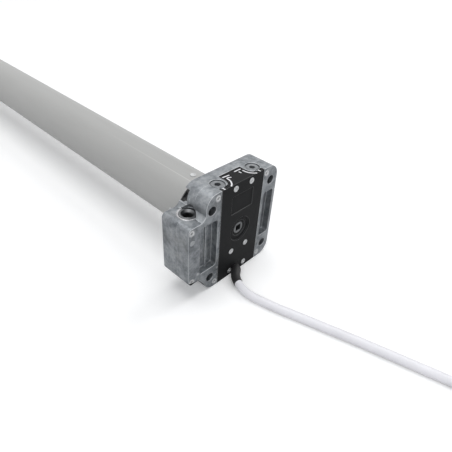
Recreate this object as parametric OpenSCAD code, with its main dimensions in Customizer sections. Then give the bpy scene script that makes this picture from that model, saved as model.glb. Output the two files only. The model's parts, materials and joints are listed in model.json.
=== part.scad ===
// Tubular roller blind motor with a die-cast head and a crank override.
// Origin: motor axis on the mounting face of the head. +Y runs along the tube, +Z is up.

/* [Head] */
// Pitch of the square of fixing holes
hole_pitch = 60; // [56:1:64]
// Diameter of the fixing holes
hole_d = 7; // [5:0.5:8]
// Half height of the head, axis to base
head_h = 42; // [41:0.5:46]
// Motor axis to the right edge of the head
head_right = 37.5; // [37.5:0.5:44]
// Motor axis to the left edge of the ears
head_left = 35.5; // [35.5:0.5:38]
// Corner radius of the head
head_r = 10; // [6:0.5:12]
// Depth of the front casting
front_t = 11.3; // [11.3:0.1:12]
// Depth of the rear casting
rear_t = 11.7; // [11.7:0.1:14]
// Depth of the two lightening recesses
recess_t = 5.5; // [2:0.5:5.5]

/* [Crank gearbox] */
// Motor axis to the left wall of the gearbox block
block_x = 51; // [50:0.5:54]
// Top of the gearbox block above the motor axis
block_top = 24.4; // [24:0.2:26]
// Bottom of the gearbox block below the motor axis
block_low = 25.6; // [25:0.2:30]
// Depth of the gearbox block
block_t = 26.5; // [25:0.5:30]
// Crank axis behind the mounting face
crank_y = 14.5; // [14.3:0.1:14.8]
// Module of the worm and its wheel
worm_m = 1.5; // [1.4:0.05:1.5]
// Teeth of the worm wheel
wheel_teeth = 44; // [43:1:44]
// Pitch radius of the worm
worm_r = 5.5; // [5:0.1:5.5]
// Face width of the worm wheel
wheel_t = 5.4; // [4:0.2:5.4]
// Bore of the crank socket, below its funnel
socket_d = 7.2; // [7.1:0.1:7.3]
// Across flats of the hexagon in the socket
socket_hex = 6; // [5.5:0.1:6]
// Outside diameter of the crank socket
socket_lip_d = 12.6; // [12:0.2:13]

/* [Front cover] */
// Width of the front cover
cover_w = 42.6; // [42.6:0.2:46]
// Thickness of the front cover
cover_t = 3.2; // [2.6:0.1:3.4]
// Depth of the tongue over the top
tongue_y = 14.5; // [13:0.5:16]
// Width of the tongue at the back
tongue_w = 21; // [16:0.5:22]
// Diameter of a limit screw's head
dial_d = 10.6; // [9:0.2:11]
// Motor axis to each limit screw, sideways
dial_x = 17.5; // [17:0.5:18]
// Limit screws behind the mounting face
dial_y = 8.5; // [8.3:0.1:8.7]

/* [Tube] */
// Outer diameter of the motor tube
tube_d = 45; // [45:0.5:48]
// Wall of the motor tube
tube_wall = 1.2; // [0.8:0.1:1.4]
// Front end of the tube behind the mounting face
tube_y = 44; // [43:0.5:48]
// Length of the motor tube
tube_len = 596; // [596:2:700]
// Outer diameter of the limit crown
crown_d = 43; // [42.6:0.2:43]
// Outer diameter of the hollow spigot
spigot_d = 23; // [22:0.2:23]
// Bore of the hollow spigot
spigot_bore = 16; // [12:0.5:18]

/* [Motor and gears] */
// Length of the stator core
stator_len = 130; // [100:2:130]
// Diameter of the rotor
rotor_d = 23; // [20:0.5:24]
// Diameter of the rotor shaft
shaft_d = 8; // [7.6:0.2:8]
// Module of the reduction gears
gear_m = 0.6; // [0.58:0.01:0.6]
// Teeth of each sun gear
sun_teeth = 12; // [12:1:12]
// Teeth of each planet gear
planet_teeth = 21; // [21:1:21]
// Across flats of the square output shaft
output_sq = 12; // [10:0.5:12]
// Length of the square output shaft outside the tube
output_len = 24; // [16:1:40]

/* [Supply cable] */
// Diameter of the supply cable
cable_d = 6.3; // [6.2:0.1:6.3]
// Tightest bend of the supply cable
bend_r = 20; // [20:1:21]
// Bare length of the stripped cores
core_len = 40; // [20:1:60]

/* [Hidden] */

// Clearances
fit = 0.05;       // running or seated fit, radial
gap = 0.3;        // faces on different bodies
seat = 0.15;      // the cover in its channel
eps = 0.01;
$fn = 96;

// Head
head_t = front_t + rear_t;
hole_at = hole_pitch / 2;
block_r = 3.5;
web_r = 6;                        // concave blend from the ear to the block
niche_h = 7.6;
corner_t = 18.5;                  // thickness of the ear's corner above the block
corner_low = 28;
corner_in = 25.2;
ear_r = hole_d / 2 + 5;
recess_in = cover_w / 2 + 3;
recess_left = hole_at + 10.5;
recess_right = head_right - 2.4;
recess_z = hole_at - hole_d / 2 - 6;
recess_r = 2;
screw_x = cover_w / 2 + 3.4;      // corner screws of the castings
screw_z = head_h - 4.4;
block_screw_x = block_x - 3.2;
block_screw_z = block_top - 3.6;
block_screw_low = block_low - 2.8;

// Cover
channel_t = cover_t + 0.2;
tongue_t = 2.6;
bite_r = dial_d / 2 + 1.6;
pocket_t = 8;                     // rear face of the pocket behind the cover
cover_screw_x = 8;
cover_screw_rows = [head_h - 4.1, -17.7, -(head_h - 4.3)];
cover_screw_r = 2.3;
hub_r = 10.2;
hub_step = 6.6;
notch_r = 3.9;
notch_x = -1.7;
notch_z = -head_h + 4;            // axis of the cable's notch

// Crank gearbox
wheel_r = worm_m * wheel_teeth / 2;
crank_x = -(wheel_r + worm_r);
wheel_y = crank_y - wheel_t / 2;
wheel_out = wheel_r + worm_m;
wheel_pocket_r = wheel_out + 0.8;
worm_out = worm_r + worm_m - 0.1;
worm_core = worm_r - worm_m - 0.25;
worm_pitch = PI * worm_m;
worm_z = 8.5;                     // half length of the thread
worm_slack = 0.12;                // thinning of the thread, each side
wheel_slack = 0.16;               // thinning of each wheel tooth, each side
lead_angle = atan(worm_m / (2 * worm_r));
tunnel_r = worm_out + 0.7;
socket_r = socket_lip_d / 2;
socket_low = 13;
socket_mouth = 4.8;               // radius of the funnel at its top
bush_r = tunnel_r - fit / 2;
bush_low = 17;                    // both bushes end here, clear of the wheel's teeth
journal_r = 3;
journal_low = 20;

// Spigot, neck and crown
spigot_r = spigot_d / 2;
neck_in = spigot_r + 2;
neck_out = 17.2;
neck_y = wheel_y;
crown_in = neck_out + gap;
crown_y = crank_y + wheel_t / 2 + 0.9;
crown_rim_t = 3;
crown_m = 1;
crown_teeth = 45;
crown_pitch_r = crown_m * crown_teeth / 2;
crown_bore_r = crown_pitch_r + crown_m + 0.6;
lip_y = crown_y + crown_rim_t + gap;
pinion_teeth = 10;
pinion_at = crown_m * (crown_teeth + pinion_teeth) / 2;
pinion_angle = -45;

// Limit screws
dial_top = head_h - 0.4;
dial_t = 4.4;
limit_shank_r = 2.4;
nut_w = 8;
nut_y = 6.2;
nut_h = 5;
nut_z = head_h - 13.1;
limit_low = nut_z - 10;
pocket_h = 13.8;
pocket_x = 5.4;
pocket_w = dial_x + nut_w / 2 + 0.2 - pocket_x;
switch_w = 6;

// Tube, from the head to the output
tube_r = tube_d / 2;
tube_in = tube_r - tube_wall;
inner_r = tube_in - fit;          // outside of everything seated in the tube
tube_end = tube_y + tube_len;
plug_end = tube_y + 16;
spigot_end = plug_end + 2.5;
clip_y = plug_end + gap;
brush_y = spigot_end;
brush_t = 6;
disc_y = brush_y + brush_t + 1.3;
disc_t = 1.6;
cap_y = disc_y + 10;
cap_len = 80;
cap_r = 16;
brake_y = cap_y + cap_len + 12;
brake_len = 26;
brake_floor = 3;
brake_disc_t = 4;
brake_plate_t = 3;
brake_lift = 0.6;                 // travel of the plate
guide_at = 17.2;                  // guide pins of the plate
spring_r = 7.5;
spring_wire = 0.6;
rear_shield_y = brake_y + brake_len;
brake_disc_y = rear_shield_y - brake_disc_t - gap;
brake_plate_y = brake_disc_y - brake_plate_t - gap;
shield_t = 8;
winding_t = 14;
stator_y = rear_shield_y + shield_t + winding_t + 2;
front_shield_y = stator_y + stator_len + winding_t + 2;
gear_y = front_shield_y + shield_t;
housing_y = tube_end - 62;
shaft_r = shaft_d / 2;
bearing_out = 9;
bearing_t = 6;

// Reduction: three planetary stages in one long ring gear
ring_teeth = sun_teeth + 2 * planet_teeth;
sun_r = gear_m * sun_teeth / 2;
planet_r = gear_m * planet_teeth / 2;
ring_r = gear_m * ring_teeth / 2;
planet_at = sun_r + planet_r;
stage_t = [14, 20, 30];           // face widths of the three stages
stage_gap = 1;
plate_t = [4, 6, 8];              // plates of the three carriers
pin_r = [1.6, 2.2, 2.9];
stage_y = [
    gear_y + 6,
    gear_y + 6 + stage_t[0] + plate_t[0] + 2 * stage_gap,
    gear_y + 6 + stage_t[0] + plate_t[0] + stage_t[1] + plate_t[1] + 4 * stage_gap
];
ring_end = housing_y - gap;
output_y = stage_y[2] + stage_t[2] + stage_gap;
journal_out = 9;
output_bearing_r = 14;

// Cable
cable_r = cable_d / 2;
boot_r = 3.7;
boot_turn = 67;                   // degrees, to the left
boot_arc = 47;                    // degrees of bend inside the boot
boot_lead = 2.3;
boot_grip = 12;
floor_z = -head_h;
cable_z = floor_z + cable_r + 0.05;
wire_r = 1;
core_off = 1.6;                   // each core's axis from the cable's
core_bend = 40;                   // radius on which the cores lie along the coil
route_end_turn = 15;              // degrees to the right where the coil starts

// Coil: layers that spiral in and out, one on the other
coil_at = [-13.1, -246.4];
coil_out = 57.5;
coil_pitch = 6.9;
layer_turns = 1.75;
layers = 4;
layer_h = 6.9;
loop_rings = 24;
tie_t = 1;
tie_gap = 0.15;
tie_w = 5;
tie_angle = -40;                  // degrees from the point where the cable enters
coil_z0 = floor_z + tie_t + tie_gap + cable_r;

// An extrusion along +Y of a shape drawn in X and Z
module along_y(y, length) {
    translate([0, y + length, 0])
    rotate([90, 0, 0])
    linear_extrude(length)
    children();
}

// A cylinder along +Y
module rod_y(y, length, r) {
    translate([0, y, 0])
    rotate([-90, 0, 0])
    cylinder(h = length, r = r);
}

module ring_y(y, length, r_out, r_in) {
    difference() {
        rod_y(y, length, r_out);
        rod_y(y - 1, length + 2, r_in);
    }
}

// A rectangle with round corners, made of true arcs
module round_rect(x0, x1, z0, z1, r) {
    translate([x0 + r, z0]) square([x1 - x0 - 2 * r, z1 - z0]);
    translate([x0, z0 + r]) square([x1 - x0, z1 - z0 - 2 * r]);
    for (x = [x0 + r, x1 - r], z = [z0 + r, z1 - r]) translate([x, z]) circle(r);
}

module hexagon(flats) {
    circle(r = flats / sqrt(3), $fn = 6);
}

// Outline of the head without the gearbox block
module ear_outline() {
    round_rect(-head_left, head_right, -head_h, head_h, head_r);
}

module block_outline() {
    round_rect(-block_x, -head_left + block_r + 4, -block_low, block_top, block_r);
}

// Blend from the ear down to the block's top
module web_top() {
    difference() {
        translate([-head_left - web_r, block_top - eps]) square([web_r + 1, web_r]);
        translate([-head_left - web_r, block_top + web_r]) circle(web_r + 0.3);
    }
}

// Blends between the ears and the block
module web_outline() {
    web_top();
    polygon([
        [-hole_at - 11, -block_low + eps], [-head_left + 0.4, -head_h + head_r - 1.6],
        [-head_left + 4, -head_h + head_r], [-head_left + 4, -block_low + 2], [-hole_at - 11, -block_low + 2]
    ]);
}

module head_outline() {
    ear_outline();
    block_outline();
    web_outline();
}

module hole_ring() {
    for (x = [-hole_at, hole_at], z = [-hole_at, hole_at]) translate([x, z]) circle(hole_d / 2);
}

module casting_screw_points() {
    for (x = [-screw_x, screw_x], z = [-screw_z, screw_z]) translate([x, 0, z]) children();
    translate([-block_screw_x, 0, block_screw_z]) children();
    translate([-block_screw_x, 0, -block_screw_low]) children();
}

module crank_rod(z0, z1, r) {
    translate([crank_x, crank_y, z0]) cylinder(h = z1 - z0, r = r);
}

module dial_rod(side, z0, z1, r) {
    translate([side * dial_x, dial_y, z0]) cylinder(h = z1 - z0, r = r);
}

// The two recesses between the fixing holes, with a rib on the back wall
module recesses() {
    for (side = [-1, 1]) {
        x_in = recess_in;
        x_out = side < 0 ? recess_left : recess_right;
        difference() {
            along_y(-1, recess_t + 1)
            mirror([side < 0 ? 1 : 0, 0])
            round_rect(x_in, x_out, -recess_z, recess_z, recess_r);
            translate([side * (x_in + x_out) / 2 - 0.9 + side * -1.5, recess_t - 1.2, -recess_z - 1])
            cube([1.8, 3, 2 * recess_z + 2]);
        }
    }
}

// Top tongue of the cover, seen from above, with a bite round each limit screw
module tongue_outline(extra) {
    w = cover_w / 2 + extra;
    difference() {
        union() {
            translate([-w, extra > 0 ? -1 : 0]) square([2 * w, dial_y + (extra > 0 ? 1 : 0)]);
            translate([-tongue_w / 2 - extra, 0]) square([tongue_w + 2 * extra, tongue_y + extra]);
        }
        for (side = [-1, 1]) translate([side * dial_x, dial_y]) circle(bite_r - extra);
    }
}

// What both castings lose: fixing holes, worm tunnel and the tongue's seat
module shared_cuts() {
    along_y(-1, head_t + block_t) hole_ring();
    crank_rod(-journal_low, block_top + 1, tunnel_r);
    // niche over the crank's bush, and a straight way in for the crank's end
    translate([crank_x, crank_y, block_top + eps]) cylinder(h = niche_h, r1 = tunnel_r + 0.1, r2 = 2);
    crank_rod(block_top, head_h + 1, socket_d / 2);
    translate([0, 0, head_h - tongue_t - 0.1]) linear_extrude(tongue_t + 1) tongue_outline(seat);
    for (side = [-1, 1]) {
        dial_rod(side, dial_top - dial_t - 0.1, head_h + 1, dial_d / 2 + gap / 2);
        // pocket of a limit switch and its nut
        translate([side > 0 ? pocket_x : -pocket_x - pocket_w, channel_t - 1, nut_z - pocket_h / 2])
        cube([pocket_w, dial_y + nut_y / 2 + 0.3 - channel_t + 1, pocket_h]);
    }
}

module front_casting() {
    color([0.66, 0.68, 0.7])
    difference() {
        union() {
            difference() {
                along_y(0, front_t) head_outline();
                recesses();
                // channel for the cover
                translate([-cover_w / 2 - seat, -1, -head_h - 1])
                cube([cover_w + 2 * seat, channel_t + 1, 2 * head_h + 2]);
                // pocket for the wiring, below the axis
                translate([-15, channel_t - 1, -head_h + 2.6]) cube([30, pocket_t - channel_t + 1, 22]);
            }
            rod_y(channel_t + 1, spigot_end - channel_t - 1, spigot_r);
        }
        shared_cuts();
        rod_y(-1, spigot_end + 2, spigot_bore / 2);
        ring_y(clip_y - 0.1, 1.2, spigot_r + 1, spigot_r - 0.9);
        for (side = [-1, 1]) dial_rod(side, limit_low - 1, head_h, limit_shank_r + fit);
        // seats of the screws that hold the cover
        for (x = [-cover_screw_x, cover_screw_x], z = cover_screw_rows)
            translate([x, 0, z]) rod_y(channel_t - 1, 6.4, 1.1);
        casting_screw_points() rod_y(-1, front_t + 2, 1.5 + fit);
        casting_screw_points() rod_y(-1, 3.2, 2.4);
        // way of the cable's boot
        translate([notch_x, -1, notch_z]) rod_y(0, pocket_t + 1, notch_r);
        translate([notch_x - notch_r, -1, -head_h - 1]) cube([2 * notch_r, pocket_t + 1, notch_z + head_h + 1]);
    }
}

module rear_casting() {
    color([0.62, 0.64, 0.66])
    difference() {
        union() {
            along_y(front_t, rear_t) head_outline();
            along_y(front_t, block_t - front_t) block_outline();
            along_y(head_t - 1, block_t - head_t + 1) web_top();
            // rear lug of the block, beside the crown
            translate([-head_left - 9, head_t - 1, block_top - 5]) cube([4, 5.5, 4.2]);
        }
        shared_cuts();
        rod_y(front_t - 1, wheel_y + wheel_t + 0.4 - front_t + 1, wheel_pocket_r);
        rod_y(front_t, lip_y - front_t, crown_bore_r);
        rod_y(front_t, rear_t + 1, crown_d / 2 + gap);
        rotate([0, -pinion_angle, 0])
        translate([pinion_at, 0, 0])
        rod_y(front_t, lip_y - front_t, crown_m * pinion_teeth / 2 + crown_m + 0.6);
        rotate([0, -pinion_angle, 0])
        translate([pinion_at, 0, 0])
        rod_y(front_t, rear_t + 1, 2 + fit);
        casting_screw_points() rod_y(front_t - 1, 8, 1.5);
        // thinner corner behind the crank's bush
        translate([-head_left - 20, corner_t, corner_low])
        cube([head_left + 20 - corner_in, 20, head_h - 3.4 - corner_low]);
    }
}

module front_cover() {
    color([0.09, 0.09, 0.1])
    difference() {
        union() {
            translate([-cover_w / 2, 0, -head_h]) cube([cover_w, cover_t, 2 * head_h - tongue_t]);
            translate([0, 0, head_h - tongue_t - 0.05]) linear_extrude(tongue_t + 0.05) tongue_outline(0);
        }
        // stepped recess round the axis
        rod_y(-1, 2.2, hub_r);
        rod_y(-1, 2.9, hub_step);
        rod_y(0, cover_t + 1, 4.6);
        // shallow blank panel
        along_y(-1, 1.6) round_rect(-11, 11, 17, 32, 1.2);
        for (x = [-cover_screw_x, cover_screw_x], z = cover_screw_rows) {
            translate([x, 0, z]) rod_y(-1, cover_t + 2, 1.3);
            translate([x, 0, z]) rod_y(-1, 2.1, cover_screw_r + fit);
        }
        translate([notch_x, 0, notch_z]) rod_y(-1, cover_t + 2, notch_r);
        translate([notch_x - notch_r, -1, -head_h - 1]) cube([2 * notch_r, cover_t + 2, notch_z + head_h + 1]);
    }
}

// A countersunk-style screw along +Y with a hexagon socket
module screw_y(y, head_r, head_t, shank_r, length, socket) {
    difference() {
        union() {
            rod_y(y, head_t, head_r);
            rod_y(y + head_t - eps, length, shank_r);
        }
        translate([0, y - 1, 0]) rotate([-90, 0, 0]) linear_extrude(head_t * 0.6 + 1) hexagon(socket);
    }
}

module cover_screws() {
    color([0.75, 0.76, 0.77])
    for (x = [-cover_screw_x, cover_screw_x], z = cover_screw_rows)
        translate([x, 0, z]) screw_y(-0.2, cover_screw_r, 1.25, 1.05, 6.5, 2);
}

module casting_screws() {
    color([0.7, 0.71, 0.72])
    casting_screw_points() screw_y(0.15, 2.3, 2, 1.45, 14, 2);
}

module hub_insert() {
    color([0.55, 0.55, 0.56])
    difference() {
        rod_y(1.9, cover_t - 1.9 + 3, 4.6 - fit);
        along_y(0, 12) square([5, 5], center = true);
    }
}

// Plain bearings of the crank shaft: one round the socket, one under the worm
module worm_bushes() {
    color([0.62, 0.62, 0.62]) {
        difference() {
            crank_rod(bush_low, block_top + 0.2, bush_r);
            crank_rod(bush_low - 1, block_top + 1, socket_r + fit);
        }
        difference() {
            crank_rod(-journal_low + fit, -bush_low, bush_r);
            crank_rod(-journal_low - 1, -bush_low + 1, journal_r + fit);
        }
    }
}

module crank_socket() {
    color([0.5, 0.5, 0.5])
    difference() {
        crank_rod(socket_low, block_top + 0.4, socket_r);
        crank_rod(socket_low + 5.8, block_top + 1, socket_d / 2);
        translate([crank_x, crank_y, block_top - 2.1])
        cylinder(h = 3, r1 = socket_mouth - 1.5, r2 = socket_mouth + 0.3);
        crank_rod(socket_low - 1, socket_low + 1.2, journal_r + fit / 2);
        translate([crank_x, crank_y, socket_low + 1.5]) linear_extrude(6) hexagon(socket_hex);
    }
}

// A closed tube through equal rings of points
module skin(rings) {
    n = len(rings[0]);
    m = len(rings);
    polyhedron(
        points = [for (r = rings) each r],
        faces = concat(
            [for (i = [1 : n - 2]) [0, i, i + 1]],
            [for (k = [0 : m - 2], i = [0 : n - 1]) [k * n + i, (k + 1) * n + i, (k + 1) * n + (i + 1) % n]],
            [for (k = [0 : m - 2], i = [0 : n - 1]) [k * n + i, (k + 1) * n + (i + 1) % n, k * n + (i + 1) % n]],
            [for (i = [1 : n - 2]) [(m - 1) * n, (m - 1) * n + i + 1, (m - 1) * n + i]]
        )
    );
}

// Section across the worm; turned along its length it makes the thread
module worm_section() {
    tip = 360 / worm_pitch * (worm_pitch / 4 - tan(20) * (worm_out - worm_r) - worm_slack);
    foot = 360 / worm_pitch * (worm_pitch / 4 + tan(20) * (worm_r - worm_core) - worm_slack);
    polygon(concat(
        [for (i = [-2 : 2]) worm_out * [cos(tip * i / 2), sin(tip * i / 2)]],
        [for (i = [1 : 4]) flank_point(tip, foot, i / 5, 1)],
        [for (i = [0 : 4]) let (a = foot + (360 - 2 * foot) * i / 4) worm_core * [cos(a), sin(a)]],
        [for (i = [4 : -1 : 1]) flank_point(tip, foot, i / 5, -1)]
    ));
}

function flank_point(tip, foot, u, side) = let (a = side * (tip + (foot - tip) * u))
    (worm_out + (worm_core - worm_out) * u) * [cos(a), sin(a)];

module override_worm() {
    turn = 360 * worm_z / worm_pitch;
    color([0.58, 0.58, 0.58])
    union() {
        crank_rod(-journal_low + 0.5, -worm_z + 1, journal_r);
        crank_rod(worm_z - 1, socket_low + 1.1, journal_r);
        translate([crank_x, crank_y, -worm_z])
        rotate([0, 0, -turn])
        linear_extrude(2 * worm_z, twist = -2 * turn, slices = 72, segments = 18)
        worm_section();
    }
}

// Involute flank as [radius, half angle] pairs
function inv(a) = tan(a) * 180 / PI - a;
function half_angle(m, z, pa, cut, r) = let (
    rb = m * z / 2 * cos(pa),
    a = r > rb ? acos(rb / r) : 0
) 90 / z + inv(pa) - inv(a) - cut / (m * z) * 180 / PI;

// Outline of a gear; cut is the thinning of each tooth, negative for a ring's cutter
function gear_points(m, z, pa, add, ded, cut, phase) = let (
    r0 = m * z / 2,
    ra = r0 + add,
    rf = r0 - ded,
    flank = [for (k = [0 : 4]) max(rf, m * z / 2 * cos(pa)) + (ra - max(rf, m * z / 2 * cos(pa))) * k / 4]
) [
    for (t = [0 : z - 1]) let (c = t * 360 / z + phase) each concat(
        [let (a = c - half_angle(m, z, pa, cut, flank[0])) [rf * cos(a), rf * sin(a)]],
        [for (r = flank) let (a = c - half_angle(m, z, pa, cut, r)) [r * cos(a), r * sin(a)]],
        [for (i = [4 : -1 : 0]) let (r = flank[i], a = c + half_angle(m, z, pa, cut, r)) [r * cos(a), r * sin(a)]],
        [let (a = c + half_angle(m, z, pa, cut, flank[0])) [rf * cos(a), rf * sin(a)]]
    )
];

// One straight tooth of the worm wheel, turned to the worm's lead angle
module wheel_tooth() {
    root = wheel_r - worm_m - 0.3;
    half_root = worm_pitch / 4 + tan(20) * (worm_m + 0.3) - wheel_slack;
    half_tip = worm_pitch / 4 - tan(20) * (worm_m - 0.1) - wheel_slack;
    rotate([-lead_angle, 0, 0])
    along_y(-wheel_t / 2 - 0.6, wheel_t + 1.2)
    polygon([
        [root - 1.2, -half_root], [root, -half_root], [wheel_r, -(half_root + half_tip) / 2 - 0.02],
        [wheel_out - 0.1, -half_tip], [wheel_out - 0.1, half_tip], [wheel_r, (half_root + half_tip) / 2 + 0.02],
        [root, half_root], [root - 1.2, half_root]
    ]);
}

module worm_wheel() {
    color([0.76, 0.63, 0.36])
    difference() {
        intersection() {
            union() {
                rod_y(wheel_y, wheel_t, wheel_r - worm_m - 0.3);
                translate([0, crank_y, 0])
                for (k = [0 : wheel_teeth - 1])
                    rotate([0, 180 + (k + 0.5) * 360 / wheel_teeth, 0]) wheel_tooth();
            }
            rod_y(wheel_y, wheel_t, wheel_out + 1);
        }
        rod_y(wheel_y - 1, wheel_t + 2, neck_out + fit / 2);
        for (a = [0 : 60 : 300])
            rotate([0, a, 0]) translate([(neck_out + wheel_r - 4) / 2 + 1, 0, 0]) rod_y(wheel_y - 1, wheel_t + 2, 3.6);
    }
}

module neck_bushes() {
    color([0.85, 0.83, 0.78]) {
        ring_y(neck_y + 0.5, 8, neck_in - fit / 2, spigot_r + fit);
        ring_y(plug_end - 9, 8, neck_in - fit / 2, spigot_r + fit);
    }
}

module thrust_washer() {
    color([0.8, 0.8, 0.8])
    ring_y(front_t + fit, neck_y - front_t - 2 * fit, neck_out - 0.6, spigot_r + gap);
}

module spigot_clip() {
    color([0.35, 0.36, 0.38])
    difference() {
        ring_y(clip_y, 1, spigot_r + 2.6, spigot_r - 0.85);
        translate([-2.2, clip_y - 1, spigot_r - 3]) cube([4.4, 3, 8]);
    }
}

module limit_crown() {
    color([0.1, 0.1, 0.11])
    difference() {
        union() {
            along_y(crown_y, crown_rim_t)
            polygon(gear_points(crown_m, crown_teeth, 20, crown_m * 0.9, crown_m * 1.2, 0.12, 0));
            rod_y(crown_y, tube_y - gap - crown_y, crown_d / 2);
        }
        rod_y(crown_y - 1, tube_y, crown_in);
        // drive slots for the tube adapter
        for (a = [45 : 90 : 315])
            rotate([0, a, 0]) translate([crown_d / 2 - 1.4, tube_y - 10, -2.2]) cube([5, 12, 4.4]);
    }
}

module counter_pinion() {
    z = pinion_teeth;
    phase = pinion_angle + 180 + pinion_angle * crown_teeth / z - 180 / z;
    color([0.86, 0.86, 0.83])
    rotate([0, -pinion_angle, 0])
    translate([pinion_at, 0, 0])
    rotate([0, pinion_angle, 0]) {
        along_y(crown_y + 0.2, crown_rim_t - 0.4)
        polygon(gear_points(crown_m, z, 20, crown_m * 0.9, crown_m * 1.2, 0.12, phase));
        rod_y(crown_y, rear_t + front_t - crown_y + 0.6, 2);
    }
}

module limit_screw(side, tint) {
    color(tint)
    difference() {
        union() {
            dial_rod(side, dial_top - dial_t, dial_top, dial_d / 2);
            dial_rod(side, limit_low, dial_top - 1, limit_shank_r);
        }
        translate([side * dial_x, dial_y, dial_top - 3]) linear_extrude(4) hexagon(4);
        // rim step
        difference() {
            dial_rod(side, dial_top - 0.5, dial_top + 1, dial_d / 2 + 1);
            dial_rod(side, dial_top - 1, dial_top + 2, dial_d / 2 - 0.8);
        }
    }
}

module limit_screw_up() { limit_screw(-1, [0.72, 0.7, 0.74]); }

module limit_screw_down() { limit_screw(1, [0.72, 0.7, 0.74]); }

module limit_nut(side) {
    color([0.86, 0.86, 0.83])
    difference() {
        translate([side * dial_x - nut_w / 2, dial_y - nut_y / 2 + 0.1, nut_z - nut_h / 2])
        cube([nut_w, nut_y, nut_h]);
        dial_rod(side, nut_z - nut_h, nut_z + nut_h, limit_shank_r + 2 * fit);
    }
}

module limit_nut_up() { limit_nut(-1); }

module limit_nut_down() { limit_nut(1); }

module limit_switches() {
    color([0.16, 0.2, 0.32])
    for (side = [-1, 1]) {
        translate([side * (pocket_x + 0.2 + switch_w / 2), 0, nut_z]) {
            translate([-switch_w / 2, channel_t + 0.5, -5]) cube([switch_w, front_t - channel_t - 0.8, 10]);
            translate([side * switch_w / 2 - 0.6, dial_y - 1.5, -1.5]) cube([1.2, 3, 3]);
        }
    }
}

module terminal_block() {
    color([0.85, 0.85, 0.8])
    difference() {
        translate([-12, channel_t + 0.4, -head_h + 14.2]) cube([24, pocket_t - channel_t - 0.4, 8]);
        for (x = [-9 : 6 : 9]) translate([x, 0, -head_h + 18.2]) rod_y(0, pocket_t - 1.5, 1.6);
    }
}

// Curved rubber boot: a straight neck in the cover, then a bend along the floor
module cable_boot() {
    color([0.07, 0.07, 0.08])
    difference() {
        union() {
            translate([notch_x, 0, notch_z]) rod_y(-boot_lead, pocket_t - 0.3 + boot_lead, boot_r - 0.2);
            translate([notch_x, -boot_lead, notch_z]) sphere(boot_r + 0.15);
            boot_bend(boot_r, boot_arc);
        }
        boot_bend(cable_r + 2 * fit, boot_arc + 1, boot_arc - boot_grip);
    }
}

module boot_bend(r, to, from = 0) {
    translate([notch_x + bend_r * cos(boot_turn), -boot_lead - bend_r * sin(boot_turn), notch_z])
    rotate([0, 0, 180 - boot_turn + from])
    rotate_extrude(angle = to - from)
    translate([bend_r, 0])
    circle(r, $fn = 48);
}

module motor_tube() {
    color([0.66, 0.66, 0.65])
    difference() {
        ring_y(tube_y, tube_len, tube_r, tube_in);
        rivet_points() rod_y(-1.6, 3.2, 1.6 + fit);
    }
}

// Rivets: four at the head end, four at the output end
module rivet_points() {
    for (y = [tube_y + 7, tube_end - 12], a = [0 : 90 : 270])
        translate([0, y, 0]) rotate([0, a, 0]) translate([0, 0, tube_r]) rotate([-90, 0, 0]) children();
}

module tube_plug() {
    color([0.6, 0.61, 0.63])
    difference() {
        union() {
            rod_y(neck_y, plug_end - neck_y, neck_out);
            rod_y(tube_y + 0.6, plug_end - tube_y - 0.6, inner_r);
        }
        rod_y(neck_y - 1, plug_end, neck_in);
        rivet_points() rod_y(-1, 5, 1.6 + fit);
    }
}

module tube_rivets() {
    color([0.8, 0.8, 0.8])
    rivet_points() {
        rod_y(-0.35, 3.9, 1.6);
        rod_y(-0.55, 0.5, 2.4);
    }
}

module brush_block() {
    color([0.2, 0.2, 0.22]) {
        rod_y(brush_y + fit, brush_t - 1, 18);
        rod_y(brush_y - 6, 6.5, spigot_bore / 2 - fit);
        for (r = [8, 11, 14, 17]) rotate([0, r * 60, 0]) translate([r, 0, 0]) rod_y(brush_y + 2, disc_y - brush_y - 2.6, 0.8);
    }
}

module slip_ring_disc() {
    color([0.2, 0.42, 0.25]) {
        rod_y(disc_y, disc_t, inner_r);
        for (r = [8, 11, 14, 17]) ring_y(disc_y - 0.2, 0.4, r + 1, r - 1);
    }
}

module capacitor() {
    color([0.86, 0.86, 0.84]) {
        rod_y(cap_y, cap_len, cap_r - fit);
        for (x = [-5, 5]) translate([x, 0, 0]) rod_y(cap_y + cap_len - 1, 7, 1);
    }
}

module capacitor_cradle() {
    color([0.12, 0.12, 0.13])
    difference() {
        ring_y(cap_y - 2, cap_len - 8, inner_r, cap_r);
        for (a = [0 : 90 : 270])
            rotate([0, a, 0]) translate([-4, cap_y + 8, cap_r - 1]) cube([8, cap_len - 34, 8]);
    }
}

module brake_housing() {
    color([0.5, 0.51, 0.53]) {
        difference() {
            rod_y(brake_y, brake_len, inner_r);
            rod_y(brake_y + brake_floor, brake_len, inner_r - 2);
            rod_y(brake_y - 1, brake_floor + 2, 3);
        }
        for (a = [0 : 120 : 240])
            rotate([0, a, 0]) translate([0, 0, guide_at])
            rod_y(brake_y + brake_floor - eps, brake_disc_y - brake_y - brake_floor, 0.9);
    }
}

module brake_disc() {
    color([0.3, 0.3, 0.3])
    ring_y(brake_disc_y, brake_disc_t, 15, shaft_r + fit / 2);
}

module brake_plate() {
    color([0.55, 0.56, 0.58])
    difference() {
        ring_y(brake_plate_y, brake_plate_t, 18.9, shaft_r + 0.6);
        for (a = [0 : 120 : 240])
            rotate([0, a, 0]) translate([0, 0, guide_at]) rod_y(brake_plate_y - 1, brake_plate_t + 2, 1);
    }
}

// Winding that pulls the plate off the disc
module brake_coil() {
    color([0.72, 0.38, 0.18])
    ring_y(brake_y + brake_floor + fit, brake_plate_y - brake_lift - gap - brake_y - brake_floor, 16, 10);
}

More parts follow.
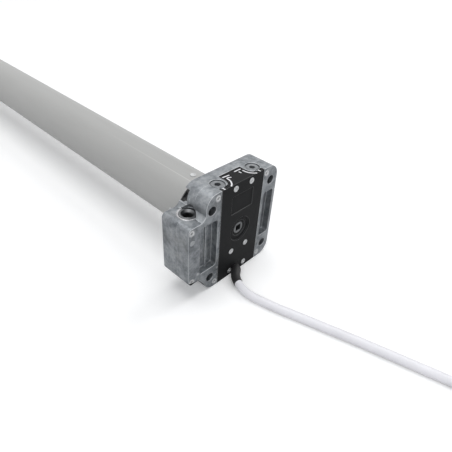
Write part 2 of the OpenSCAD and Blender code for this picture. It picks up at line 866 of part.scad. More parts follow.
// Four turns of wire between the housing's floor and the plate
module brake_spring() {
    steps = 16;
    turns = 4;
    y0 = brake_y + brake_floor + spring_wire + fit;
    y1 = brake_plate_y - spring_wire - fit;
    color([0.7, 0.71, 0.73])
    skin([for (k = [0 : steps * turns]) [for (i = [0 : 5]) let (
        a = k * 360 / steps,
        r = spring_r + spring_wire * cos(60 * i),
        y = y0 + (y1 - y0) * k / (steps * turns) + spring_wire * sin(60 * i)
    ) [r * sin(a), y, r * cos(a)]]]);
}

module end_shield(y, seat_y) {
    difference() {
        rod_y(y, shield_t, inner_r);
        rod_y(y - 1, shield_t + 2, shaft_r + 0.5);
        rod_y(seat_y, bearing_t, bearing_out + fit / 2);
    }
}

module rear_end_shield() {
    color([0.6, 0.61, 0.63])
    end_shield(rear_shield_y, rear_shield_y + shield_t - bearing_t);
}

module front_end_shield() {
    color([0.6, 0.61, 0.63])
    end_shield(front_shield_y, front_shield_y);
}

module motor_bearings() {
    color([0.75, 0.76, 0.78]) {
        ring_y(rear_shield_y + shield_t - bearing_t + 0.1, bearing_t - 0.2, bearing_out, shaft_r + fit);
        ring_y(front_shield_y + 0.1, bearing_t - 0.2, bearing_out, shaft_r + fit);
    }
}

module stator_core() {
    color([0.4, 0.41, 0.43])
    difference() {
        ring_y(stator_y, stator_len, inner_r, rotor_d / 2 + gap);
        for (a = [0 : 15 : 345])
            rotate([0, a, 0]) translate([-0.7, stator_y - 1, rotor_d / 2 + 1.2]) cube([1.4, stator_len + 2, 4.4]);
    }
}

module stator_windings() {
    color([0.72, 0.38, 0.18])
    for (y = [stator_y - winding_t, stator_y + stator_len]) {
        difference() {
            rod_y(y + 0.2, winding_t - 0.4, inner_r - 2.4);
            rod_y(y - 1, winding_t + 2, rotor_d / 2 + 1.2);
        }
    }
}

module rotor_core() {
    color([0.55, 0.56, 0.58]) {
        ring_y(stator_y, stator_len, rotor_d / 2, shaft_r + fit / 2);
        for (y = [stator_y - 5, stator_y + stator_len]) ring_y(y, 5, rotor_d / 2, shaft_r + fit / 2);
    }
}

function planet_phase(k) = let (p = k * 120)
    p + 180 + p * sun_teeth / planet_teeth - 180 / planet_teeth;

module sun_gear(y, length) {
    along_y(y, length)
    polygon(gear_points(gear_m, sun_teeth, 25, gear_m * 0.85, gear_m * 1.1, 0.12, 0));
}

module rotor_shaft() {
    color([0.7, 0.71, 0.73])
    union() {
        rod_y(brake_plate_y - 1, gear_y + 3 - brake_plate_y, shaft_r);
        rod_y(gear_y + 1, 4, sun_r - gear_m * 1.15);
        sun_gear(gear_y + 4.5, stage_y[0] + stage_t[0] - gear_y - 4.5);
    }
}

module ring_gear() {
    color([0.56, 0.57, 0.59])
    difference() {
        rod_y(gear_y, ring_end - gear_y, inner_r);
        along_y(gear_y - 1, ring_end - gear_y + 2)
        polygon(gear_points(gear_m, ring_teeth, 25, gear_m * 1.15, gear_m * 0.8, -0.12, 0));
    }
}

module planet(stage, k) {
    color([0.64, 0.65, 0.67])
    rotate([0, -k * 120, 0])
    translate([planet_at, 0, 0])
    rotate([0, k * 120, 0])
    difference() {
        along_y(stage_y[stage], stage_t[stage])
        polygon(gear_points(gear_m, planet_teeth, 25, gear_m * 0.85, gear_m * 1.1, 0.12, planet_phase(k)));
        rod_y(stage_y[stage] - 1, stage_t[stage] + 2, pin_r[stage] + fit);
    }
}

module planet_1a() { planet(0, 0); }

module planet_1b() { planet(0, 1); }

module planet_1c() { planet(0, 2); }

module planet_2a() { planet(1, 0); }

module planet_2b() { planet(1, 1); }

module planet_2c() { planet(1, 2); }

module planet_3a() { planet(2, 0); }

module planet_3b() { planet(2, 1); }

module planet_3c() { planet(2, 2); }

// Plate and pins of a carrier, behind its planets
module carrier(stage) {
    y = stage_y[stage] + stage_t[stage] + stage_gap / 2;
    rod_y(y, plate_t[stage], ring_r - gear_m - gap);
    for (a = [0 : 120 : 240])
        rotate([0, a, 0]) translate([planet_at, 0, 0]) rod_y(stage_y[stage] + 0.2, y - stage_y[stage], pin_r[stage]);
}

module carrier_1() {
    color([0.6, 0.61, 0.63])
    union() {
        carrier(0);
        sun_gear(stage_y[1] - stage_gap, stage_t[1] + stage_gap);
    }
}

module carrier_2() {
    color([0.6, 0.61, 0.63])
    union() {
        carrier(1);
        sun_gear(stage_y[2] - stage_gap, stage_t[2] + stage_gap);
    }
}

module output_shaft() {
    color([0.72, 0.73, 0.75])
    union() {
        carrier(2);
        rod_y(output_y + plate_t[2] - 1, tube_end + 2 - output_y - plate_t[2], journal_out);
        along_y(tube_end, output_len) square([output_sq, output_sq], center = true);
    }
}

module output_housing() {
    color([0.6, 0.61, 0.63])
    difference() {
        union() {
            rod_y(housing_y, tube_end - housing_y, inner_r);
            rod_y(tube_end, 1.6, tube_r - 0.4);
        }
        rod_y(housing_y - 1, 80, journal_out + 1);
        rod_y(housing_y + 4, 10, output_bearing_r + fit / 2);
        rod_y(tube_end - 12, 10, output_bearing_r + fit / 2);
        rivet_points() rod_y(-1, 5, 1.6 + fit);
    }
}

module output_bearings() {
    color([0.75, 0.76, 0.78]) {
        ring_y(housing_y + 4.1, 9.8, output_bearing_r, journal_out + fit);
        ring_y(tube_end - 11.9, 9.8, output_bearing_r, journal_out + fit);
    }
}

// Cable: free stretch, coil, tie and bare cores
function unit(v) = v / norm(v);

// Rings of a round tube through points, each ring square to the route
function tube_rings(p, r, n) = [
    for (k = [0 : len(p) - 1]) let (
        d = unit(p[min(k + 1, len(p) - 1)] - p[max(k - 1, 0)]),
        side = unit(cross(d, [0, 0, 1])),
        up = cross(side, d)
    ) [for (i = [0 : n - 1]) p[k] + r * (cos(i * 360 / n) * side + sin(i * 360 / n) * up)]
];

function turned(a) = [sin(a), -cos(a)];    // direction a degrees to the right of -Y

// A point of the boot's bend where the cable points a degrees to the left of -Y
function bend_point(a) = [
    notch_x - bend_r * (cos(a) - cos(boot_turn)),
    -boot_lead - bend_r * (sin(boot_turn) - sin(a)),
    notch_z
];

// Point where the cable enters the coil
coil_start = [
    coil_at[0] + coil_out * cos(route_end_turn),
    coil_at[1] + coil_out * sin(route_end_turn),
    coil_z0
];
coil_entry = coil_start - cable_d * [turned(route_end_turn)[0], turned(route_end_turn)[1], 0];

// Route of the free cable: hand-chosen points on the floor
lead_route = concat(
    [for (a = [9 : -3 : 0]) bend_point(boot_turn - boot_arc + a)],
    [
        [-14.2, -18.6, cable_z + 0.5], [-14.8, -24.7, cable_z + 0.2], [-14.3, -30.8, cable_z],
        [-13, -36.9, cable_z], [-10.2, -48.1, cable_z], [-6.3, -60.8, cable_z], [-2.7, -72.6, cable_z],
        [0.4, -83, cable_z], [6.2, -102, cable_z], [11.8, -122, cable_z], [17.4, -142, cable_z],
        [23, -162, cable_z], [28.4, -182, cable_z + 0.2], [33.8, -202, cable_z + 0.7]
    ],
    [coil_entry - 10 * [turned(route_end_turn)[0], turned(route_end_turn)[1], 0], coil_entry]
);

module cable_lead() {
    color([0.93, 0.93, 0.93])
    skin(tube_rings(lead_route, cable_r, 12));
}

function smooth(u) = let (c = min(1, max(0, u))) c * c * (3 - 2 * c);

function coil_r(t) = coil_out
    - coil_pitch * (layer_turns - abs(t - 2 * layer_turns * floor(t / (2 * layer_turns)) - layer_turns));

function coil_rise(t, k = 1) = k >= layers ? 0 :
    smooth((t - k * layer_turns + 0.25) / 0.5) + coil_rise(t, k + 1);

function coil_point(t) = let (a = route_end_turn - 360 * t) [
    coil_at[0] + coil_r(t) * cos(a),
    coil_at[1] + coil_r(t) * sin(a),
    coil_z0 + layer_h * coil_rise(t)
];

coil_rings = loop_rings * layer_turns * layers;
coil_last = coil_point(layer_turns * layers);
coil_away = unit(coil_last - coil_point(layer_turns * layers - 1 / loop_rings));
coil_end = coil_last + cable_d * [coil_away[0], coil_away[1], 0];
coil_route = concat(
    [coil_entry],
    [for (i = [0 : coil_rings]) coil_point(i / loop_rings)],
    [coil_end]
);

echo(coil_gap = min([for (i = [0 : coil_rings], j = [i + loop_rings / 2 : 1 : coil_rings])
    norm(coil_route[i] - coil_route[j])]) - cable_d);

module cable_coil() {
    color([0.93, 0.93, 0.93])
    skin(tube_rings(coil_route, cable_r, 6));
}

// Flat band round the whole bundle
module cable_tie() {
    t = tie_angle / 360;
    r0 = min([for (k = [1 : floor(layers * layer_turns)]) coil_r(t + k)]) - cable_r - tie_gap;
    r1 = max([for (k = [1 : floor(layers * layer_turns)]) coil_r(t + k)]) + cable_r + tie_gap;
    z0 = coil_z0 - cable_r - tie_gap;
    z1 = coil_z0 + layer_h * (layers - 1) + cable_r + tie_gap;
    color([0.12, 0.12, 0.12])
    translate([coil_at[0], coil_at[1], 0])
    rotate([0, 0, route_end_turn - tie_angle])
    difference() {
        translate([r0 - tie_t, -tie_w / 2, z0 - tie_t]) cube([r1 - r0 + 2 * tie_t, tie_w, z1 - z0 + 2 * tie_t]);
        translate([r0, -tie_w / 2 - 1, z0]) cube([r1 - r0, tie_w + 2, z1 - z0]);
    }
}

// A bare or insulated core, bent to lie along the coil
module core_arc(length, turn, r) {
    span = length / core_bend * 180 / PI;
    rotate([0, 0, 90 - span])
    rotate_extrude(angle = span)
    translate([core_bend + core_off * cos(turn), core_off * sin(turn)])
    circle(r);
}

// Four insulated cores with bare tips
module cable_cores() {
    color([0.45, 0.35, 0.2])
    translate(coil_end)
    rotate([0, 0, atan2(coil_away[1], coil_away[0])])
    translate([0, -core_bend, 0])
    for (a = [45 : 90 : 315]) {
        core_arc(core_len - 8, a, wire_r);
        core_arc(core_len, a, wire_r / 2);
    }
}

front_casting();
rear_casting();
front_cover();
cover_screws();
casting_screws();
hub_insert();
worm_bushes();
crank_socket();
override_worm();
worm_wheel();
neck_bushes();
thrust_washer();
spigot_clip();
limit_crown();
counter_pinion();
limit_screw_up();
limit_screw_down();
limit_nut_up();
limit_nut_down();
limit_switches();
terminal_block();
cable_boot();
cable_lead();
cable_coil();
cable_tie();
cable_cores();
motor_tube();
tube_plug();
tube_rivets();
brush_block();
slip_ring_disc();
capacitor();
capacitor_cradle();
brake_housing();
brake_disc();
brake_plate();
brake_spring();
brake_coil();
rear_end_shield();
front_end_shield();
motor_bearings();
stator_core();
stator_windings();
rotor_core();
rotor_shaft();
ring_gear();
planet_1a();
planet_1b();
planet_1c();
carrier_1();
planet_2a();
planet_2b();
planet_2c();
carrier_2();
planet_3a();
planet_3b();
planet_3c();
output_shaft();
output_housing();
output_bearings();
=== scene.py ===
import json
import math

import bmesh
import bpy
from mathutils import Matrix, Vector

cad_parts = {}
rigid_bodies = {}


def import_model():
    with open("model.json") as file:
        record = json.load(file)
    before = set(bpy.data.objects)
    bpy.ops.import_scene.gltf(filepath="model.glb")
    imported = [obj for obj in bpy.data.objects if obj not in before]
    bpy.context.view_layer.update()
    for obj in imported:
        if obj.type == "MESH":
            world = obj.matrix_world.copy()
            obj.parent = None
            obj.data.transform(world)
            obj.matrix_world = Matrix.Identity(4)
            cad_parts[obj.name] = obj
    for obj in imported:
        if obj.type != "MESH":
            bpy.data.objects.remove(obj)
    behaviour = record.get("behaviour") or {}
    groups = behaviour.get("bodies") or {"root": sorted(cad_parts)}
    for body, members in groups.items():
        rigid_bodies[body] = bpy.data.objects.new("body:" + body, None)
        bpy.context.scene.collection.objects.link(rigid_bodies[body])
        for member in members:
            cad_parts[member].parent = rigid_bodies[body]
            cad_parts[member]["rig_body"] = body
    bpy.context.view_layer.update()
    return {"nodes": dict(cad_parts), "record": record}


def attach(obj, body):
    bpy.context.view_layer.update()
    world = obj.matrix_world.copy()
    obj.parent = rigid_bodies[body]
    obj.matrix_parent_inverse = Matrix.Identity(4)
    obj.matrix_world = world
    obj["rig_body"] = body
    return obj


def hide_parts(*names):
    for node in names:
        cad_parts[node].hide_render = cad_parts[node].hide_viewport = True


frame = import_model()
scene = bpy.context.scene
nodes = frame["nodes"]
MM = 0.001


# Camera at the photograph's angle
cam_data = bpy.data.cameras.new("camera")
camera = bpy.data.objects.new("camera", cam_data)
scene.collection.objects.link(camera)
camera.location = (-0.18280, -0.14650, 0.18305)
camera.rotation_euler = [math.radians(a) for a in (52.1056, -3.1901, -46.2660)]
cam_data.sensor_width = 36
cam_data.lens = 32.0706
cam_data.clip_start = 0.01
cam_data.clip_end = 50
scene.camera = camera


# Sizes that the source also uses, in millimetres
HEAD_H = 42.0
FLOOR_Z = -HEAD_H
CABLE_R = 3.15
BEND_R = 20.0
BOOT_LEAD = 2.3
BOOT_TURN = 67.0
BOOT_ARC = 47.0
NOTCH_X = -1.7
NOTCH_Z = 4 - HEAD_H
CABLE_Z = FLOOR_Z + CABLE_R + 0.05
COIL_X, COIL_Y = -13.1, -246.4
COIL_OUT = 57.5
COIL_PITCH = 6.9
LAYER_TURNS = 1.75
LAYERS = 4
LAYER_H = 6.9
COIL_Z = FLOOR_Z + 1 + 0.15 + CABLE_R
END_TURN = 15.0
COIL_STEPS = 24
DIAL_X = 17.5
DIAL_Y = 8.5
TUBE_Y = 44.0


def new_object(name, data):
    obj = bpy.data.objects.new(name, data)
    scene.collection.objects.link(obj)
    return obj


def mesh_object(name, bm):
    """Turns a bmesh in metres into an object whose faces point outwards."""
    bmesh.ops.remove_doubles(bm, verts=bm.verts, dist=1e-7)
    bmesh.ops.recalc_face_normals(bm, faces=bm.faces)
    mesh = bpy.data.meshes.new(name)
    bm.to_mesh(mesh)
    bm.free()
    return new_object(name, mesh)


def loft(bm, rings, smooth):
    """Walls between rings of points, and a cap on each end."""
    for a, b in zip(rings, rings[1:]):
        for k in range(len(a)):
            n = (k + 1) % len(a)
            bm.faces.new((a[k], a[n], b[n], b[k])).smooth = smooth
    bm.faces.new(rings[0])
    bm.faces.new(rings[-1])


def round_turns(sides):
    return [2 * math.pi * k / sides for k in range(sides)]


def carried(obj, body, slot, *replaced):
    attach(obj, body)
    if replaced:
        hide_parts(*replaced)
    return obj


# Cable, on the same route as in the source
def bend_point(angle, z):
    """A point of the boot's bend where the cable points this far to the left of -Y."""
    t = math.radians(angle)
    u = math.radians(BOOT_TURN)
    x = NOTCH_X - BEND_R * (math.cos(t) - math.cos(u))
    y = -BOOT_LEAD - BEND_R * (math.sin(u) - math.sin(t))
    return Vector((x, y, z))


def eased_step(u):
    c = min(1.0, max(0.0, u))
    return c * c * (3 - 2 * c)


def coil_point(t):
    a = math.radians(END_TURN - 360 * t)
    fold = t % (2 * LAYER_TURNS)
    r = COIL_OUT - COIL_PITCH * (LAYER_TURNS - abs(fold - LAYER_TURNS))
    rise = sum(eased_step((t - k * LAYER_TURNS + 0.25) / 0.5) for k in range(1, LAYERS))
    return Vector((COIL_X + r * math.cos(a), COIL_Y + r * math.sin(a), COIL_Z + LAYER_H * rise))


def cable_route():
    turn = math.radians(END_TURN)
    away = Vector((math.sin(turn), -math.cos(turn), 0))
    entry = Vector((COIL_X + COIL_OUT * math.cos(turn), COIL_Y + COIL_OUT * math.sin(turn), COIL_Z))
    entry -= 2 * CABLE_R * away
    points = [bend_point(BOOT_TURN - BOOT_ARC + a, NOTCH_Z) for a in (9, 6, 3, 0)]
    points += [Vector((x, y, CABLE_Z + rise)) for x, y, rise in (
        (-14.2, -18.6, 0.5), (-14.8, -24.7, 0.2), (-14.3, -30.8, 0), (-13, -36.9, 0), (-10.2, -48.1, 0),
        (-6.3, -60.8, 0), (-2.7, -72.6, 0), (0.4, -83, 0), (6.2, -102, 0), (11.8, -122, 0), (17.4, -142, 0),
        (23, -162, 0), (28.4, -182, 0.2), (33.8, -202, 0.7),
    )]
    points += [entry - 10 * away, entry]
    turns = LAYER_TURNS * LAYERS
    count = int(COIL_STEPS * turns)
    points += [coil_point(turns * i / count) for i in range(count + 1)]
    back = points[-1] - points[-2]
    back.z = 0
    points.append(points[-1] + 2 * CABLE_R * back.normalized())
    return [p * MM for p in points]


def cable_curve(name, points, radius, steps, sides):
    data = bpy.data.curves.new(name, "CURVE")
    data.dimensions = "3D"
    data.bevel_depth = 1.0  # each point's radius scales this
    data.bevel_resolution = sides
    data.resolution_u = steps
    data.use_fill_caps = True
    spline = data.splines.new("BEZIER")
    spline.bezier_points.add(len(points) - 1)
    for b, p in zip(spline.bezier_points, points):
        b.co = p
        b.radius = radius
        b.handle_left_type = b.handle_right_type = "AUTO"
    return new_object(name, data)


route = cable_route()
cable = cable_curve("supply_cable", route, CABLE_R * MM, 6, 8)
carried(cable, "head", "cable_white", "cable_lead", "cable_coil")


# Node groups shared by the materials
def group_of(name, inputs, outputs):
    tree = bpy.data.node_groups.new(name, "ShaderNodeTree")
    for label, kind in inputs:
        tree.interface.new_socket(name=label, in_out="INPUT", socket_type=kind)
    for label, kind in outputs:
        tree.interface.new_socket(name=label, in_out="OUTPUT", socket_type=kind)
    start = tree.nodes.new("NodeGroupInput")
    end = tree.nodes.new("NodeGroupOutput")
    return tree, start.outputs, end.inputs


def add_noise(tree, vector, scale, detail, roughness=0.55):
    n = tree.nodes.new("ShaderNodeTexNoise")
    n.inputs["Detail"].default_value = detail
    n.inputs["Roughness"].default_value = roughness
    tree.links.new(vector, n.inputs["Vector"])
    link_or_set(tree, scale, n.inputs["Scale"])
    return n.outputs["Fac"]


def link_or_set(tree, value, socket):
    if isinstance(value, (int, float)):
        socket.default_value = value
    else:
        tree.links.new(value, socket)


def add_range(tree, value, low, high, out_low=0.0, out_high=1.0):
    n = tree.nodes.new("ShaderNodeMapRange")
    tree.links.new(value, n.inputs["Value"])
    for label, v in (("From Min", low), ("From Max", high), ("To Min", out_low), ("To Max", out_high)):
        link_or_set(tree, v, n.inputs[label])
    return n.outputs["Result"]


def add_math(tree, operation, a, b=0.0):
    n = tree.nodes.new("ShaderNodeMath")
    n.operation = operation
    link_or_set(tree, a, n.inputs[0])
    link_or_set(tree, b, n.inputs[1])
    return n.outputs[0]


def weighted_sum(tree, *shares):
    total = None
    for value, share in shares:
        part = add_math(tree, "MULTIPLY", value, share)
        total = part if total is None else add_math(tree, "ADD", total, part)
    return total


def add_mix(tree, factor, a, b):
    n = tree.nodes.new("ShaderNodeMix")
    n.data_type = "RGBA"
    tree.links.new(factor, n.inputs["Factor"])
    for socket, colour in ((n.inputs[6], a), (n.inputs[7], b)):
        if isinstance(colour, tuple):
            socket.default_value = (*colour, 1)
        else:
            tree.links.new(colour, socket)
    return n.outputs[2]


def mottled_group():
    """Cloudy change between two colours with fine grain on top."""
    tree, i, o = group_of(
        "mottled",
        [("Vector", "NodeSocketVector"), ("Dark", "NodeSocketColor"), ("Light", "NodeSocketColor"),
         ("Patch Scale", "NodeSocketFloat"), ("Grain Scale", "NodeSocketFloat"),
         ("Rough Low", "NodeSocketFloat"), ("Rough High", "NodeSocketFloat")],
        [("Color", "NodeSocketColor"), ("Roughness", "NodeSocketFloat"), ("Height", "NodeSocketFloat")],
    )
    patch = add_noise(tree, i["Vector"], i["Patch Scale"], 5)
    grain = add_noise(tree, i["Vector"], i["Grain Scale"], 3)
    cloud = add_range(tree, patch, 0.34, 0.66)
    fine = add_range(tree, grain, 0.3, 0.7)
    both = weighted_sum(tree, (cloud, 0.7), (fine, 0.3))
    tree.links.new(add_mix(tree, both, i["Dark"], i["Light"]), o["Color"])
    tree.links.new(add_range(tree, both, 0.0, 1.0, i["Rough Low"], i["Rough High"]), o["Roughness"])
    tree.links.new(fine, o["Height"])
    return tree


def cast_group():
    """Zinc as it comes from the die: flow clouds, grey stains, fine pits and a soapy sheen."""
    tree, i, o = group_of(
        "die_cast_skin",
        [("Vector", "NodeSocketVector"), ("Dark", "NodeSocketColor"), ("Light", "NodeSocketColor"),
         ("Stain", "NodeSocketColor"), ("Stain Amount", "NodeSocketFloat")],
        [("Color", "NodeSocketColor"), ("Roughness", "NodeSocketFloat"), ("Height", "NodeSocketFloat")],
    )
    cloud = add_range(tree, add_noise(tree, i["Vector"], 95, 7, 0.62), 0.4, 0.6)
    flow = add_range(tree, add_noise(tree, i["Vector"], 330, 6, 0.62), 0.38, 0.62)
    grain = add_range(tree, add_noise(tree, i["Vector"], 1500, 3, 0.6), 0.3, 0.7)
    pits = add_range(tree, add_noise(tree, i["Vector"], 620, 2, 0.5), 0.28, 0.4)
    tone = weighted_sum(tree, (cloud, 0.5), (flow, 0.35), (grain, 0.15))
    base = add_mix(tree, tone, i["Dark"], i["Light"])
    stained = add_range(tree, add_noise(tree, i["Vector"], 38, 4, 0.55), 0.5, 0.72)
    base = add_mix(tree, add_math(tree, "MULTIPLY", stained, i["Stain Amount"]), base, i["Stain"])
    tree.links.new(base, o["Color"])
    tree.links.new(add_range(tree, tone, 0.0, 1.0, 0.5, 0.33), o["Roughness"])
    tree.links.new(weighted_sum(tree, (grain, 0.45), (flow, 0.35), (pits, 0.5)), o["Height"])
    return tree


def seam_highlight_group():
    """Mask of a painted highlight: a narrow line along +Y on the upper half of a tube round the Y axis, which
    fades away from its start.
    """
    tree, i, o = group_of(
        "tube_seam_highlight",
        [("Vector", "NodeSocketVector"), ("Across", "NodeSocketFloat"), ("Half Width", "NodeSocketFloat"),
         ("Start", "NodeSocketFloat"), ("End", "NodeSocketFloat")],
        [("Mask", "NodeSocketFloat")],
    )
    split = tree.nodes.new("ShaderNodeSeparateXYZ")
    tree.links.new(i["Vector"], split.inputs[0])
    off = add_math(tree, "ABSOLUTE", add_math(tree, "SUBTRACT", split.outputs["X"], i["Across"]))
    line = add_range(tree, off, 0.0, i["Half Width"], 1.0, 0.0)
    above = add_math(tree, "GREATER_THAN", split.outputs["Z"], 0.0)
    fade = add_range(tree, split.outputs["Y"], i["Start"], i["End"], 1.0, 0.0)
    tree.links.new(add_math(tree, "MULTIPLY", add_math(tree, "MULTIPLY", line, above), fade), o["Mask"])
    return tree


GROUPS = {"mottled": mottled_group(), "cast": cast_group(), "seam_highlight": seam_highlight_group()}


def place_group(tree, kind, vector, **values):
    n = tree.nodes.new("ShaderNodeGroup")
    n.node_tree = GROUPS[kind]
    tree.links.new(vector, n.inputs["Vector"])
    for label, value in values.items():
        socket = n.inputs[label.replace("_", " ")]
        socket.default_value = (*value, 1) if isinstance(value, tuple) else value
    return n.outputs


def blank_material(name, stretch=(1, 1, 1)):
    material = bpy.data.materials.new(name)
    material.use_nodes = True
    tree = material.node_tree
    tree.nodes.clear()
    out = tree.nodes.new("ShaderNodeOutputMaterial")
    shader = tree.nodes.new("ShaderNodeBsdfPrincipled")
    tree.links.new(shader.outputs["BSDF"], out.inputs["Surface"])
    place = tree.nodes.new("ShaderNodeTexCoord")
    mapping = tree.nodes.new("ShaderNodeMapping")
    mapping.inputs["Scale"].default_value = stretch
    tree.links.new(place.outputs["Object"], mapping.inputs["Vector"])
    return material, tree, shader, mapping.outputs["Vector"]


def dress(tree, shader, skin, metallic, relief_mm, strength, specular=0.5):
    tree.links.new(skin["Color"], shader.inputs["Base Color"])
    tree.links.new(skin["Roughness"], shader.inputs["Roughness"])
    n = tree.nodes.new("ShaderNodeBump")
    n.inputs["Strength"].default_value = strength
    n.inputs["Distance"].default_value = relief_mm * MM
    tree.links.new(skin["Height"], n.inputs["Height"])
    tree.links.new(n.outputs["Normal"], shader.inputs["Normal"])
    shader.inputs["Metallic"].default_value = metallic
    shader.inputs["Specular IOR Level"].default_value = specular


def mottled(name, dark, light, metallic=0.0, rough=(0.4, 0.6), patch=60, grain=1500, relief=0.05,
            strength=0.3, stretch=(1, 1, 1), specular=0.5):
    material, tree, shader, vector = blank_material(name, stretch)
    skin = place_group(tree, "mottled", vector, Dark=dark, Light=light, Patch_Scale=patch,
                       Grain_Scale=grain, Rough_Low=rough[0], Rough_High=rough[1])
    dress(tree, shader, skin, metallic, relief, strength, specular)
    return material


def cast_metal(name, dark, light, stain, amount, strength=0.45):
    material, tree, shader, vector = blank_material(name)
    skin = place_group(tree, "cast", vector, Dark=dark, Light=light, Stain=stain, Stain_Amount=amount)
    dress(tree, shader, skin, 0.85, 0.12, strength)
    return material


def tube_paint():
    """Matte grey coat with a faint drawn grain along the tube, and a painted highlight along a seam line near
    the head.
    """
    material, tree, shader, vector = blank_material("tube_paint", (1, 0.12, 1))
    skin = place_group(tree, "mottled", vector, Dark=(0.385, 0.385, 0.377), Light=(0.42, 0.42, 0.412),
                       Patch_Scale=70, Grain_Scale=1700, Rough_Low=0.4, Rough_High=0.5)
    dress(tree, shader, skin, 0.15, 0.02, 0.15)
    seam_highlight = place_group(tree, "seam_highlight", tree.nodes["Texture Coordinate"].outputs["Object"], Across=-6.5 * MM,
                       Half_Width=0.4 * MM, Start=TUBE_Y * MM, End=0.17)
    # Painted highlight: a lighter line along the tube's top, brightest at the head and fading along the tube.
    with_painted_highlight = add_mix(tree, seam_highlight["Mask"], skin["Color"], (0.56, 0.56, 0.54))
    tree.links.new(with_painted_highlight, shader.inputs["Base Color"])
    return material


MATERIALS = {
    "die_cast": cast_metal("cast_zinc", (0.125, 0.137, 0.15), (0.36, 0.377, 0.395), (0.17, 0.17, 0.16), 0.45),
    "tube_grey": tube_paint(),
    "cover_black": mottled("cover_plastic", (0.008, 0.0084, 0.009), (0.0135, 0.014, 0.0148), 0.0,
                           (0.45, 0.58), 120, 2600, 0.05, 0.35, (1, 1, 1), 0.1),
    "crown_black": mottled("crown_plastic", (0.011, 0.011, 0.012), (0.018, 0.018, 0.02), 0.0, (0.3, 0.42),
                           80, 2200, 0.03, 0.2),
    "cable_white": mottled("cable_sheath", (0.76, 0.755, 0.79), (0.86, 0.855, 0.89), 0.0, (0.35, 0.5),
                           45, 1800, 0.04, 0.2),
    "boot_rubber": mottled("boot_rubber", (0.008, 0.008, 0.009), (0.017, 0.017, 0.018), 0.0, (0.45, 0.6),
                           90, 2600, 0.05, 0.3),
    "screw_steel": mottled("screw_zinc", (0.45, 0.455, 0.46), (0.68, 0.69, 0.7), 0.9, (0.25, 0.4),
                           500, 3000, 0.02, 0.2),
    "steel": mottled("ground_steel", (0.42, 0.42, 0.43), (0.6, 0.6, 0.61), 1.0, (0.2, 0.36),
                     200, 3000, 0.02, 0.2, (1, 1, 6)),
    "dark_steel": mottled("phosphated_steel", (0.13, 0.135, 0.14), (0.22, 0.225, 0.23), 1.0, (0.35, 0.5),
                          200, 3000, 0.03, 0.25),
    "bronze": mottled("bearing_bronze", (0.5, 0.36, 0.17), (0.64, 0.48, 0.25), 1.0, (0.25, 0.4),
                      200, 3000, 0.02, 0.2),
    "copper": mottled("copper_winding", (0.45, 0.16, 0.06), (0.6, 0.25, 0.1), 0.7, (0.25, 0.4),
                      300, 2200, 0.2, 0.6, (1, 4, 1)),
    "white_plastic": mottled("acetal", (0.7, 0.69, 0.64), (0.77, 0.76, 0.72), 0.0, (0.35, 0.45),
                             80, 2600, 0.02, 0.2),
    "board": mottled("glass_fibre_board", (0.02, 0.12, 0.05), (0.03, 0.17, 0.07), 0.0, (0.3, 0.4),
                     200, 2600, 0.02, 0.2),
    "core_insulation": mottled("core_insulation", (0.16, 0.06, 0.025), (0.2, 0.08, 0.03), 0.0, (0.35, 0.45),
                               200, 2600, 0.02, 0.2),
    "aluminium": mottled("turned_aluminium", (0.55, 0.55, 0.56), (0.68, 0.68, 0.69), 1.0, (0.25, 0.4),
                         200, 3000, 0.02, 0.2),
}
# Lighter casting colour for the eased edges: partly wear, partly a painted highlight on the edges.
CAST_EDGE_WEAR_AND_HIGHLIGHT = cast_metal("cast_edge_wear_and_highlight", (0.32, 0.335, 0.35), (0.5, 0.515, 0.53), (0.3, 0.3, 0.29), 0.2, 0.25)
# Lighter black for the cover's eased edges: partly wear, partly a painted highlight.
BLACK_EDGE_WEAR_AND_HIGHLIGHT = mottled("cover_edge_wear_and_highlight", (0.02, 0.021, 0.022), (0.035, 0.036, 0.038), 0.0, (0.35, 0.45),
                     120, 2600, 0.03, 0.2)
PRINT_WHITE = mottled("print_white", (0.72, 0.72, 0.74), (0.82, 0.82, 0.84), 0.0, (0.45, 0.55),
                      400, 3000, 0.01, 0.1)
cable.data.materials.append(MATERIALS["cable_white"])


# Finish of the CAD nodes
slot_of = {part["node"]: part["material_slot"] for part in frame["record"]["subparts"]}
DIAL_METAL = cast_metal("dial_metal", (0.16, 0.168, 0.178), (0.3, 0.312, 0.325), (0.2, 0.2, 0.2), 0.3, 0.3)
own_finish = {"limit_screw_up": DIAL_METAL, "limit_screw_down": DIAL_METAL}


def finish_of(name):
    return own_finish.get(name, MATERIALS[slot_of[name]])


for name, obj in nodes.items():
    obj.data.materials.clear()
    obj.data.materials.append(finish_of(name))


SHARP = math.radians(28)     # edges that turn more than this get a radius
PARTING_Y = 11.3             # where the casting's halves meet
PARTING_WEIGHT = 0.3         # share of the full width on the edges of that joint
WELD = 2e-6                  # metres
FLAT = math.radians(0.4)


